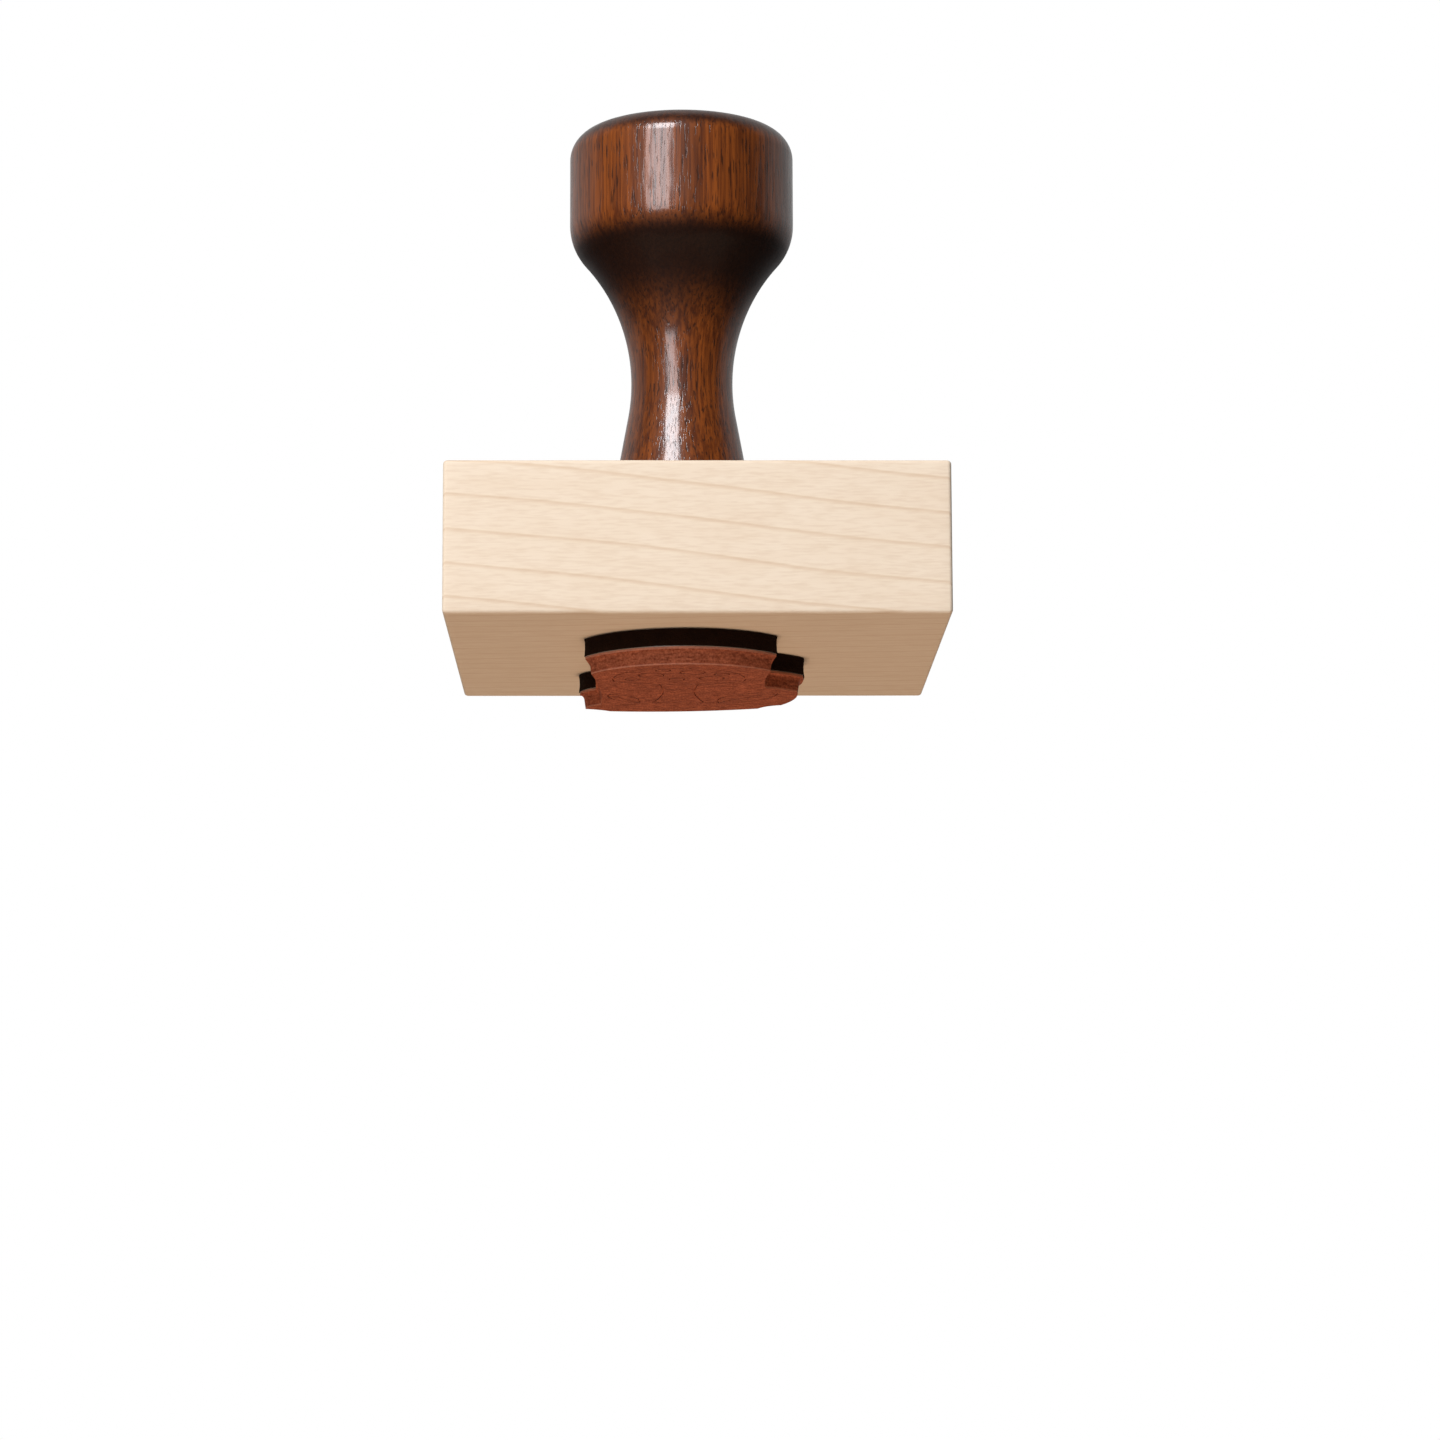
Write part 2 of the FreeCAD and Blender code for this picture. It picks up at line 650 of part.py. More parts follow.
def check_document(doc, sub_parts):
    """Stops the build if any object failed to recompute or any sub-part is not a valid solid."""
    for item in doc.Objects:
        if {"Invalid", "Error"} & set(item.State):
            raise RuntimeError(f"{item.Label} did not recompute: {item.State}")
    for item in sub_parts:
        shape = item.Shape
        if shape.isNull() or not shape.isValid() or not shape.Solids or shape.Volume <= 0:
            raise RuntimeError(f"{item.Label} is not a valid solid")


def main():
    doc = FreeCAD.newDocument("rubber_stamp")
    sheet = make_sheet(doc)

    def size(alias):
        """The value of a driving dimension, read from the spreadsheet."""
        return float(sheet.get(alias))

    sub_parts = [make_handle(doc, size), make_block(doc, size), make_screw(doc, size)]
    sub_parts += make_die_stack(doc, size)
    doc.recompute()
    check_document(doc, sub_parts)

    os.makedirs("parts", exist_ok=True)
    for item in sub_parts:
        item.Shape.exportStep(os.path.join("parts", f"{item.Label}.step"))
        box = item.Shape.BoundBox
        print(
            f"{item.Label}: {item.Shape.Volume:.1f} mm3, {len(item.Shape.Solids)} solid,"
            f" z {box.ZMin:.2f} to {box.ZMax:.2f}"
        )


main()
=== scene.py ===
"""A wood-handled rubber stamp: its finished surfaces, materials, light and camera.

The stamp stands on the face of its die. The camera looks up at it from a little below, so the pale floor
is far under it. Sizes are in metres unless a name ends in _mm. Places come from the frame.
"""

import math

import bpy
import numpy as np
from mathutils import Matrix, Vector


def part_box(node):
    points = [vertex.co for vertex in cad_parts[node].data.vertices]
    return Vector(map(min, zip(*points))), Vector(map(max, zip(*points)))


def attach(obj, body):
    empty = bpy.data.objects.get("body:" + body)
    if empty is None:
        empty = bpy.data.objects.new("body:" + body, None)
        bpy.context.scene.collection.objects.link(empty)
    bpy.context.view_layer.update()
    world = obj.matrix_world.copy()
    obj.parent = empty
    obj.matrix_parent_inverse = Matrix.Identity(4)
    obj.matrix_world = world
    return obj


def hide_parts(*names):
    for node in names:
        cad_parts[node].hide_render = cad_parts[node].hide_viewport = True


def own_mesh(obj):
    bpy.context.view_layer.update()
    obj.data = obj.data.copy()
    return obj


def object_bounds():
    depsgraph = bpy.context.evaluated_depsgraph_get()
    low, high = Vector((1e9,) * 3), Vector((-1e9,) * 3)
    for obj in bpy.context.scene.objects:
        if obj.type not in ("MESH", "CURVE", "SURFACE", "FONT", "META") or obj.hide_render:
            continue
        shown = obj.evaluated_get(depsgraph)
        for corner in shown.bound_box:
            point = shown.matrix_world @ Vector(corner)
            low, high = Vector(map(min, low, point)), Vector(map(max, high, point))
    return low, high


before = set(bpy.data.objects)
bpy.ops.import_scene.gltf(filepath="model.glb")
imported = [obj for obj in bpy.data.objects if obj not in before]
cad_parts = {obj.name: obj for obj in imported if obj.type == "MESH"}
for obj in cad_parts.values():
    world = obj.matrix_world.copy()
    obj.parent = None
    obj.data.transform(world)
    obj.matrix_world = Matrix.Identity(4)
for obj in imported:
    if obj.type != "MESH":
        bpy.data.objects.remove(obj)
cad_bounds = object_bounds()

MM = 0.001
STAMP = "stamp_body"
DIE = "die"


# ---------------------------------------------------------------- nodes and colours


def linear(code):
    """An sRGB hex colour, such as 'E7D4BE', as linear RGB with an alpha of 1."""
    channels = np.array([int(code[i : i + 2], 16) for i in (0, 2, 4)]) / 255
    curve = np.where(channels <= 0.04045, channels / 12.92, ((channels + 0.055) / 1.055) ** 2.4)
    return (*(float(c) for c in curve), 1.0)


def add(tree, kind, inputs=None, **settings):
    """Adds a shader node. Settings are its own properties. Inputs are values, or sockets to link from."""
    node = tree.nodes.new("ShaderNode" + kind)
    for name, value in settings.items():
        setattr(node, name, value)
    for name, value in (inputs or {}).items():
        if isinstance(value, bpy.types.NodeSocket):
            tree.links.new(value, node.inputs[name])
        else:
            node.inputs[name].default_value = value
    return node


def new_material(name):
    """An empty material with its tree, and the Object coordinates that its patterns read, in metres."""
    material = bpy.data.materials.new(name)
    material.use_nodes = True
    tree = material.node_tree
    tree.nodes.clear()
    place = add(tree, "TexCoord").outputs["Object"]
    return material, tree, place


def finish_material(tree, shader):
    """Links a shader to the material's output."""
    add(tree, "OutputMaterial", {"Surface": shader.outputs[0]})


def noise(tree, place, size_mm, detail, roughness=0.5):
    """Noise whose cells have this size along X, Y and Z."""
    scale = tuple(1 / (size * MM) for size in size_mm)
    cells = add(tree, "Mapping", {"Vector": place, "Scale": scale}).outputs[0]
    inputs = {"Vector": cells, "Scale": 1.0, "Detail": detail, "Roughness": roughness}
    return add(tree, "TexNoise", inputs).outputs[0]


# Sockets go by number where a node gives several the same name. Mix has a set for every kind of value,
# and these are its colours. Map Range takes a value from one range to another. Math and Vector Math take
# their values in order.
FACTOR, COLOUR_A, COLOUR_B, COLOUR_OUT = 0, 6, 7, 2
VALUE, FROM_MIN, FROM_MAX, TO_MIN, TO_MAX = 0, 1, 2, 3, 4
SHADER_A, SHADER_B = 1, 2
A, B, C = 0, 1, 2


# ---------------------------------------------------------------- materials


def stained_and_lacquered_beech():
    """Beech turned with the grain upright, wiped with a walnut stain and sprayed with gloss lacquer.

    The stain sinks into the open grain, so it shows as fine upright lines with short near-black pores, over
    faint darker bands. Where the turning slopes, it cuts across the grain, and the open ends take up more
    stain. The near-black there is partly that stain and partly painted shade, deepest on faces turned
    downward, under the knob. The neck darkens towards the foot, which is painted shade. The lacquer is
    clear, dips a little over the pores and lies in slight waves, which give its shine a soft uneven edge.
    It was sprayed from above, so it is thin and dull under the knob.
    """
    material, tree, place = new_material("stained_and_lacquered_beech")

    def grain(width_mm, length_mm, detail, roughness=0.5):
        """Noise whose cells are this wide across the grain and this long along it, which is upright."""
        return noise(tree, place, (width_mm, width_mm, length_mm), detail, roughness)

    lines = grain(0.44, 14.0, detail=2.0, roughness=0.6)
    pores = grain(0.22, 2.4, detail=1.0)
    bands = grain(2.6, 70.0, detail=1.0)
    waves = grain(1.8, 6.0, detail=1.0)
    facing = add(tree, "SeparateXYZ", {"Vector": add(tree, "TexCoord").outputs["Normal"]}).outputs["Z"]
    slope = add(tree, "Math", {A: facing}, operation="ABSOLUTE").outputs[0]
    # Sloped wood darkens: partly stain taken up by the end grain, partly painted shade, deeper on faces
    # turned downward.
    end_grain_and_shade = add(
        tree,
        "MapRange",
        {VALUE: slope, FROM_MIN: 0.14, FROM_MAX: 0.56},
        interpolation_type="SMOOTHSTEP",
    ).outputs[0]
    shade_facing_down = add(
        tree,
        "MapRange",
        {VALUE: facing, FROM_MIN: -0.3, FROM_MAX: 0.3, TO_MIN: 0.95, TO_MAX: 0.78},
    ).outputs[0]
    stain_and_painted_shade = add(tree, "Math", {A: end_grain_and_shade, B: shade_facing_down}, operation="MULTIPLY").outputs[0]
    lacquer = add(
        tree,
        "MapRange",
        {VALUE: facing, FROM_MIN: -0.50, FROM_MAX: -0.10, TO_MIN: 0.10, TO_MAX: 1.0},
    ).outputs[0]
    light = add(
        tree,
        "MapRange",
        {VALUE: lines, FROM_MIN: 0.30, FROM_MAX: 0.66},
        interpolation_type="SMOOTHSTEP",
    ).outputs[0]
    pore = add(
        tree,
        "MapRange",
        {VALUE: pores, FROM_MIN: 0.57, FROM_MAX: 0.68},
        interpolation_type="SMOOTHSTEP",
    ).outputs[0]
    band = add(
        tree,
        "MapRange",
        {VALUE: bands, FROM_MIN: 0.30, FROM_MAX: 0.70, TO_MIN: 0.80, TO_MAX: 1.14},
    ).outputs[0]
    wood = add(
        tree,
        "Mix",
        {FACTOR: light, COLOUR_A: linear("562608"), COLOUR_B: linear("824213")},
        data_type="RGBA",
    ).outputs[COLOUR_OUT]
    # Painted shade: the wood darkens from the second height down to the first, and stays darkest below it.
    neck_shade_full, neck_shade_gone = 26 * MM, 58 * MM
    height = add(tree, "SeparateXYZ", {"Vector": place}).outputs["Z"]
    painted_neck_shade = add(
        tree,
        "MapRange",
        {VALUE: height, FROM_MIN: neck_shade_full, FROM_MAX: neck_shade_gone, TO_MIN: 0.76, TO_MAX: 1.0},
    ).outputs[0]
    tone = add(tree, "Math", {A: band, B: painted_neck_shade}, operation="MULTIPLY").outputs[0]
    toned = add(tree, "VectorMath", {A: wood, "Scale": tone}, operation="SCALE").outputs[0]
    pore_share = add(tree, "Math", {A: pore, B: 0.70}, operation="MULTIPLY").outputs[0]
    pored = add(
        tree,
        "Mix",
        {FACTOR: pore_share, COLOUR_A: toned, COLOUR_B: linear("1C0B04")},
        data_type="RGBA",
    ).outputs[COLOUR_OUT]
    # The near-black mix on sloped wood is partly stain and partly painted shade.
    colour = add(
        tree,
        "Mix",
        {FACTOR: stain_and_painted_shade, COLOUR_A: pored, COLOUR_B: linear("1A0A05")},
        data_type="RGBA",
    ).outputs[COLOUR_OUT]
    pore_dip = -0.8
    relief = add(tree, "Math", {A: pore, B: pore_dip, C: lines}, operation="MULTIPLY_ADD").outputs[0]
    sunk = add(tree, "Bump", {"Strength": 0.5, "Distance": 0.02 * MM, "Height": relief}).outputs[0]
    inputs = {"Strength": 1.0, "Distance": 0.09 * MM, "Height": waves, "Normal": sunk}
    wavy = add(tree, "Bump", inputs).outputs[0]
    shader = add(
        tree,
        "BsdfPrincipled",
        {
            "Base Color": colour,
            "Roughness": 0.5,
            "IOR": 1.5,
            "Specular IOR Level": 0.2,
            "Normal": sunk,
            "Coat Weight": lacquer,
            "Coat Roughness": 0.15,
            "Coat IOR": 1.5,
            "Coat Normal": wavy,
        },
    )
    finish_material(tree, shader)
    return material


def sanded_maple():
    """Hard maple, planed and sanded fine, with no finish on it.

    It is a pale cream with thin tan lines where each year's growth ends, far apart and nearly straight. The
    lines fall gently from left to right across the front, and lie close together across the underside,
    where the saw cut them flat. Between them the wood is faintly mottled and flecked.
    """
    material, tree, place = new_material("sanded_maple")
    ring_mm = 4.5
    # How fast the years go by along each axis, in rings per ring_mm, and how many rings a line strays.
    lean = (0.105, 1.15, 1.0)
    stray = 0.75
    # The grain runs along X, so every cell is longest that way.
    wander = noise(tree, place, (62.5, 22.22, 22.22), detail=1.0)
    mottle = noise(tree, place, (8.333, 2.0, 2.0), detail=4.0)
    fibre = noise(tree, place, (2.222, 0.2778, 0.2778), detail=2.0)
    pace = tuple(share / (ring_mm * MM) for share in lean)
    years = add(tree, "VectorMath", {A: place, B: pace}, operation="DOT_PRODUCT").outputs["Value"]
    age = add(tree, "Math", {A: wander, B: stray, C: years}, operation="MULTIPLY_ADD").outputs[0]
    year = add(tree, "Math", {A: age}, operation="FRACT").outputs[0]
    rise = add(
        tree,
        "MapRange",
        {VALUE: year, FROM_MIN: 0.84, FROM_MAX: 0.96},
        interpolation_type="SMOOTHSTEP",
    ).outputs[0]
    fall = add(
        tree,
        "MapRange",
        {VALUE: year, FROM_MIN: 0.96, FROM_MAX: 1.0, TO_MIN: 1.0, TO_MAX: 0.0},
    ).outputs[0]
    late = add(tree, "Math", {A: rise, B: fall}, operation="MULTIPLY").outputs[0]
    cream = add(
        tree,
        "Mix",
        {FACTOR: mottle, COLOUR_A: linear("E2CEB4"), COLOUR_B: linear("EADAC3")},
        data_type="RGBA",
    ).outputs[COLOUR_OUT]
    fleck = add(
        tree,
        "MapRange",
        {VALUE: fibre, FROM_MIN: 0.42, FROM_MAX: 0.70, TO_MIN: 0.0, TO_MAX: 0.28},
    ).outputs[0]
    flecked = add(
        tree,
        "Mix",
        {FACTOR: fleck, COLOUR_A: cream, COLOUR_B: linear("CCB092")},
        data_type="RGBA",
    ).outputs[COLOUR_OUT]
    late_share = add(tree, "Math", {A: late, B: 0.29}, operation="MULTIPLY").outputs[0]
    colour = add(
        tree,
        "Mix",
        {FACTOR: late_share, COLOUR_A: flecked, COLOUR_B: linear("BD9464")},
        data_type="RGBA",
    ).outputs[COLOUR_OUT]
    bump = add(tree, "Bump", {"Strength": 0.25, "Distance": 0.02 * MM, "Height": fibre}).outputs[0]
    shader = add(
        tree,
        "BsdfPrincipled",
        {
            "Base Color": colour,
            "Roughness": 0.62,
            "IOR": 1.45,
            "Specular IOR Level": 0.3,
            "Normal": bump,
        },
    )
    finish_material(tree, shader)
    return material


def moulded_gum_rubber():
    """Red gum rubber, vulcanised in a mould and trimmed.

    It is a matte brick red with a faint drag texture from the mould. The rim of the face and the edge of
    the lip each carry a thin paler line, a painted highlight where the edge catches the light.
    """
    material, tree, place = new_material("moulded_gum_rubber")
    drag = noise(tree, place, (1.111, 0.9091, 0.2778), detail=3.0)
    speckle = noise(tree, place, (0.2381, 0.6667, 0.2381), detail=2.0)
    cloud = noise(tree, place, (4.545,) * 3, detail=3.0)
    texture = add(tree, "Math", {A: drag, B: speckle}, operation="ADD").outputs[0]
    grain = add(tree, "MapRange", {VALUE: texture, FROM_MIN: 0.74, FROM_MAX: 1.30}).outputs[0]
    red = add(
        tree,
        "Mix",
        {FACTOR: grain, COLOUR_A: linear("7C3B22"), COLOUR_B: linear("BF6B4A")},
        data_type="RGBA",
    ).outputs[COLOUR_OUT]
    shade = add(
        tree,
        "MapRange",
        {VALUE: cloud, FROM_MIN: 0.35, FROM_MAX: 0.65, TO_MIN: 0.88, TO_MAX: 1.08},
    ).outputs[0]
    shaded = add(tree, "VectorMath", {A: red, "Scale": shade}, operation="SCALE").outputs[0]
    height = add(tree, "SeparateXYZ", {"Vector": place}).outputs["Z"]
    facing = add(tree, "SeparateXYZ", {"Vector": add(tree, "TexCoord").outputs["Normal"]}).outputs["Z"]
    slope = add(tree, "Math", {A: facing}, operation="ABSOLUTE").outputs[0]
    upright = add(
        tree,
        "MapRange",
        {VALUE: slope, FROM_MIN: 0.4, FROM_MAX: 0.8, TO_MIN: 1.0, TO_MAX: 0.0},
    ).outputs[0]
    # Painted highlight: the heights between which the rim's pale line fades out, and between which the
    # lip's fades in.
    rim_lit, rim_unlit = 0.08 * MM, 0.24 * MM
    lip_unlit, lip_lit = 1.84 * MM, 1.94 * MM
    face_rim = add(
        tree,
        "MapRange",
        {VALUE: height, FROM_MIN: rim_lit, FROM_MAX: rim_unlit, TO_MIN: 1.0, TO_MAX: 0.0},
    ).outputs[0]
    lip_edge = add(tree, "MapRange", {VALUE: height, FROM_MIN: lip_unlit, FROM_MAX: lip_lit}).outputs[0]
    edge = add(tree, "Math", {A: face_rim, B: lip_edge}, operation="ADD").outputs[0]
    highlight_edges = add(tree, "Math", {A: edge, B: upright}, operation="MULTIPLY").outputs[0]
    painted_edge_highlight = add(tree, "Math", {A: highlight_edges, B: 0.45}, operation="MULTIPLY").outputs[0]
    # Painted highlight: a pale line along the face's rim and the lip's edge, on upright walls only.
    colour = add(
        tree,
        "Mix",
        {FACTOR: painted_edge_highlight, COLOUR_A: shaded, COLOUR_B: linear("E6A084")},
        data_type="RGBA",
    ).outputs[COLOUR_OUT]
    bump = add(tree, "Bump", {"Strength": 0.4, "Distance": 0.02 * MM, "Height": texture}).outputs[0]
    shader = add(
        tree,
        "BsdfPrincipled",
        {"Base Color": colour, "Roughness": 0.75, "IOR": 1.52, "Specular IOR Level": 0.15, "Normal": bump},
    )
    finish_material(tree, shader)
    return material


def closed_cell_foam():
    """Black-brown closed-cell foam, cut with a blade, so its walls are matte and finely pitted."""
    material, tree, place = new_material("closed_cell_foam")
    cell_mm, cloud_mm = 0.2, 1.111
    cells = add(tree, "TexVoronoi", {"Vector": place, "Scale": 1 / (cell_mm * MM)}).outputs["Distance"]
    cloud = noise(tree, place, (cloud_mm,) * 3, detail=3.0)
    colour = add(
        tree,
        "Mix",
        {FACTOR: cloud, COLOUR_A: linear("130702"), COLOUR_B: linear("241206")},
        data_type="RGBA",
    ).outputs[COLOUR_OUT]
    bump = add(tree, "Bump", {"Strength": 0.5, "Distance": 0.05 * MM, "Height": cells}).outputs[0]
    shader = add(
        tree,
        "BsdfPrincipled",
        {"Base Color": colour, "Roughness": 0.9, "Specular IOR Level": 0.1, "Normal": bump},
    )
    finish_material(tree, shader)
    return material


def acrylic_film():
    """Clear double-sided acrylic film: from its edge it is a thin milky line."""
    material, tree, place = new_material("acrylic_film")
    cloud_mm = 0.6667
    cloud = noise(tree, place, (cloud_mm,) * 3, detail=2.0)
    colour = add(
        tree,
        "Mix",
        {FACTOR: cloud, COLOUR_A: linear("8C7A66"), COLOUR_B: linear("A39078")},
        data_type="RGBA",
    ).outputs[COLOUR_OUT]
    shader = add(tree, "BsdfPrincipled", {"Base Color": colour, "Roughness": 0.35, "IOR": 1.47})
    finish_material(tree, shader)
    return material


def zinc_plated_steel():
    """Cold-headed steel with rolled threads under bright zinc, slightly clouded."""
    material, tree, place = new_material("zinc_plated_steel")
    cloud_mm = 1.667
    cloud = noise(tree, place, (cloud_mm,) * 3, detail=3.0)
    colour = add(
        tree,
        "Mix",
        {FACTOR: cloud, COLOUR_A: linear("B4B6BA"), COLOUR_B: linear("CFD1D3")},
        data_type="RGBA",
    ).outputs[COLOUR_OUT]
    rough = add(tree, "MapRange", {VALUE: cloud, TO_MIN: 0.25, TO_MAX: 0.42}).outputs[0]
    shader = add(tree, "BsdfPrincipled", {"Base Color": colour, "Metallic": 1.0, "Roughness": rough})
    finish_material(tree, shader)
    return material


# ---------------------------------------------------------------- surfaces


def skin(name, rings, body, material, closed=False, sharp_degrees=35.0):
    """A mesh over a stack of closed rings of points, an array of (ring, point, xyz).

    Neighbouring rings are joined by quads. With closed, the last ring joins the first, and otherwise each
    end ring is closed by one face. Rings run anticlockwise seen from the stack's far end.
    """
    count, around, _ = rings.shape
    step = np.arange(around)
    rows = np.arange(count if closed else count - 1)[:, None]
    following = (rows + 1) % count
    beside = (step + 1) % around
    quads = np.stack(
        [
            rows * around + step,
            rows * around + beside,
            following * around + beside,
            following * around + step,
        ],
        axis=-1,
    ).reshape(-1, 4)
    faces = quads.tolist()
    if not closed:
        faces.append(step[::-1].tolist())
        faces.append(((count - 1) * around + step).tolist())
    mesh = bpy.data.meshes.new(name)
    mesh.from_pydata(rings.reshape(-1, 3).tolist(), [], faces)
    mesh.update()
    mesh.polygons.foreach_set("use_smooth", np.ones(len(mesh.polygons), bool))
    mesh.set_sharp_from_angle(angle=math.radians(sharp_degrees))
    mesh.materials.append(material)
    piece = bpy.data.objects.new(name, mesh)
    bpy.context.scene.collection.objects.link(piece)
    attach(piece, body)
    return piece


def arc(centre, radius, start, end, count):
    """Points on an arc in the plane, by its angles in radians, with both ends."""
    angle = np.linspace(start, end, count)
    return np.array(centre) + radius * np.stack([np.cos(angle), np.sin(angle)], axis=1)


def line(start, end, count):
    """Evenly spaced points on a line in the plane, with both ends."""
    return np.linspace(start, end, count)


def handle_profile(low, high):
    """The turned outline of the handle, from the end of its pilot hole round to the top of its crown.

    It is (radius, height) from the handle's axis and foot. The foot flares in a straight line that meets
    the flare arc at a tangent. That arc and the neck arc meet at the waist, where both are upright. A
    shoulder arc carries the neck into the knob's upright wall, and an edge arc carries the wall into a
    shallow crown whose centre is on the axis. It starts and stops a hair short of the axis, at a pinhole
    that one face closes.
    """
    foot, foot_chamfer = 9.5 * MM, 0.4 * MM
    waist, waist_height = 6.725 * MM, 17.2 * MM
    flare, neck, shoulder = 24.7 * MM, 25.4 * MM, 7.5 * MM
    edge, crown = 3.6 * MM, 46.0 * MM
    pilot, pilot_depth = 1.3 * MM, 17.8 * MM
    drill_slope = math.radians(30)
    # How far short of the axis the outline keeps: a length at the drill's tip, and an angle at the crown.
    tip_pinhole, crown_pinhole = 0.01 * MM, 0.0003
    knob = (high.x - low.x) / 2
    height = high.z - low.z

    flare_centre = np.array([waist + flare, waist_height])
    foot_edge = np.array([foot, 0.0])
    to_foot = foot_edge - flare_centre
    opening = math.acos(flare / np.hypot(*to_foot))
    flare_end = math.atan2(to_foot[1], to_foot[0]) % (2 * math.pi) - opening
    tangent = flare_centre + flare * np.array([math.cos(flare_end), math.sin(flare_end)])

    neck_centre = np.array([waist + neck, waist_height])
    shoulder_x = knob - shoulder
    rise = math.sqrt((neck + shoulder) ** 2 - (neck_centre[0] - shoulder_x) ** 2)
    shoulder_centre = np.array([shoulder_x, waist_height + rise])
    lean = math.atan2(rise, shoulder_x - neck_centre[0])

    edge_x = knob - edge
    edge_z = height - crown + math.sqrt((crown - edge) ** 2 - edge_x**2)
    turn = math.atan2(edge_z - (height - crown), edge_x)

    climb = tangent - foot_edge
    chamfer_top = foot_edge + climb / np.hypot(*climb) * foot_chamfer
    drill_tip = pilot_depth + pilot * math.tan(drill_slope)
    # Each stretch ends with its number of points.
    stretches = [
        line([tip_pinhole, drill_tip], [pilot, pilot_depth], 3),
        line([pilot, pilot_depth], [pilot, 0.0], 4),
        line([pilot, 0.0], [foot - foot_chamfer, 0.0], 3),
        line([foot - foot_chamfer, 0.0], chamfer_top, 2),
        line(chamfer_top, tangent, 6),
        arc(flare_centre, flare, flare_end, math.pi, 16),
        arc(neck_centre, neck, math.pi, lean, 48),
        arc(shoulder_centre, shoulder, lean - math.pi, 0.0, 20),
        line([knob, shoulder_centre[1]], [knob, edge_z], 6),
        arc([edge_x, edge_z], edge, 0.0, turn, 18),
        arc([0.0, height - crown], crown, turn, math.pi / 2 - crown_pinhole, 26),
    ]
    return np.concatenate([stretches[0], *(stretch[1:] for stretch in stretches[1:])])


def turned_handle(material):
    """The handle: its outline carried in a full circle about its own upright axis."""
    low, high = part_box("handle")
    profile = handle_profile(low, high)
    around = 256
    turn = np.linspace(0, 2 * math.pi, around, endpoint=False)
    radius, height = profile[:, 0, None], profile[:, 1, None]
    axis_x, axis_y = (low.x + high.x) / 2, (low.y + high.y) / 2
    rings = np.stack(
        [
            axis_x + radius * np.cos(turn),
            axis_y + radius * np.sin(turn),
            low.z + height + 0 * turn,
        ],
        axis=-1,
    )
    piece = skin("handle_turned", rings, STAMP, material)
    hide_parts("handle")
    return piece


def rounded_square(half, corner, side_points, corner_points):
    """A ring round a square with round corners, anticlockwise from the middle of its right side.

    half holds the half sizes along X and Y. Each corner has its own arc, and each side its own points.
    """
    straight = [half[0] - corner, half[1] - corner]
    starts = [
        ([half[0], -straight[1]], [half[0], straight[1]], [1, 1]),
        ([straight[0], half[1]], [-straight[0], half[1]], [-1, 1]),
        ([-half[0], straight[1]], [-half[0], -straight[1]], [-1, -1]),
        ([-straight[0], -half[1]], [straight[0], -half[1]], [1, -1]),
    ]
    ring = []
    for index, (start, end, sign) in enumerate(starts):
        quarter = index * math.pi / 2
        centre = [sign[0] * straight[0], sign[1] * straight[1]]
        ring.append(line(start, end, side_points))
        ring.append(arc(centre, corner, quarter, quarter + math.pi / 2, corner_points + 2)[1:-1])
    return np.concatenate(ring)


def maple_block(material):
    """The block: a ring that grows from the screw's well to a square, climbs the sides, shrinks to the hole
    in the top and goes down it to where it began.

    The arrises round its top and bottom are quarter rounds. Their size wavers slightly, as sanding by hand
    leaves them, by the mean of three sine waves of the bearing. A ring just inside each keeps the top and
    bottom flat.
    """
    low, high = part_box("mount_block")
    axis_x = sum(corner.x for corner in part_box("handle")) / 2
    arris, arris_waver, least_corner = 0.5 * MM, 0.05 * MM, 0.2 * MM
    flat_edge = 0.8 * MM
    well, seat_top, seat_bottom, hole = 4.15 * MM, 3.0 * MM, 1.0 * MM, 2.15 * MM
    # How many times each wave goes round the block, and how far round it starts, in radians.
    waves = ((5, 1), (11, 0), (23, 2))
    side_points, corner_points, arris_rings, side_rings = 48, 5, 7, 12
    half = np.array([(high.x - low.x) / 2, (high.y - low.y) / 2])
    rim = rounded_square(half, arris, side_points, corner_points)
    bearing = np.arctan2(rim[:, 1], rim[:, 0])
    round_hole = np.stack([np.cos(bearing), np.sin(bearing)], axis=1)
    waver = arris_waver * sum(np.sin(times * bearing + start) for times, start in waves) / len(waves)

    def square(inset, corner):
        """The block's outline, moved in by one inset and by the waver's share of it."""
        ring = rounded_square(half - inset, corner, side_points, corner_points)
        share = inset / arris
        return ring * (1 - share * waver[:, None] / np.abs(ring).max(axis=1, keepdims=True))

    def circle(radius):
        """A hole's outline, about the screw's axis."""
        return round_hole * radius + np.array([axis_x, 0.0])

    turns = np.linspace(0, math.pi / 2, arris_rings)
    insets = arris * (1 - np.sin(turns))
    corners = least_corner + (arris - least_corner) * np.sin(turns)
    heights = arris * (1 - np.cos(turns))
    stack = [(circle(well), low.z), (square(flat_edge, least_corner), low.z)]
    stack += [(square(*pair), low.z + up) for *pair, up in zip(insets, corners, heights)]
    middle = np.linspace(low.z + arris, high.z - arris, side_rings)[1:-1]
    stack += [(square(0.0, arris), level) for level in middle]
    stack += [(square(*pair), high.z - up) for *pair, up in list(zip(insets, corners, heights))[::-1]]
    stack += [(square(flat_edge, least_corner), high.z), (circle(hole), high.z)]
    stack += [(circle(hole), low.z + seat_top), (circle(well), low.z + seat_bottom)]
    rings = np.stack([np.column_stack([ring, np.full(len(ring), level)]) for ring, level in stack])
    piece = skin("mount_block_sanded", rings, STAMP, material, closed=True)
    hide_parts("mount_block")
    return piece


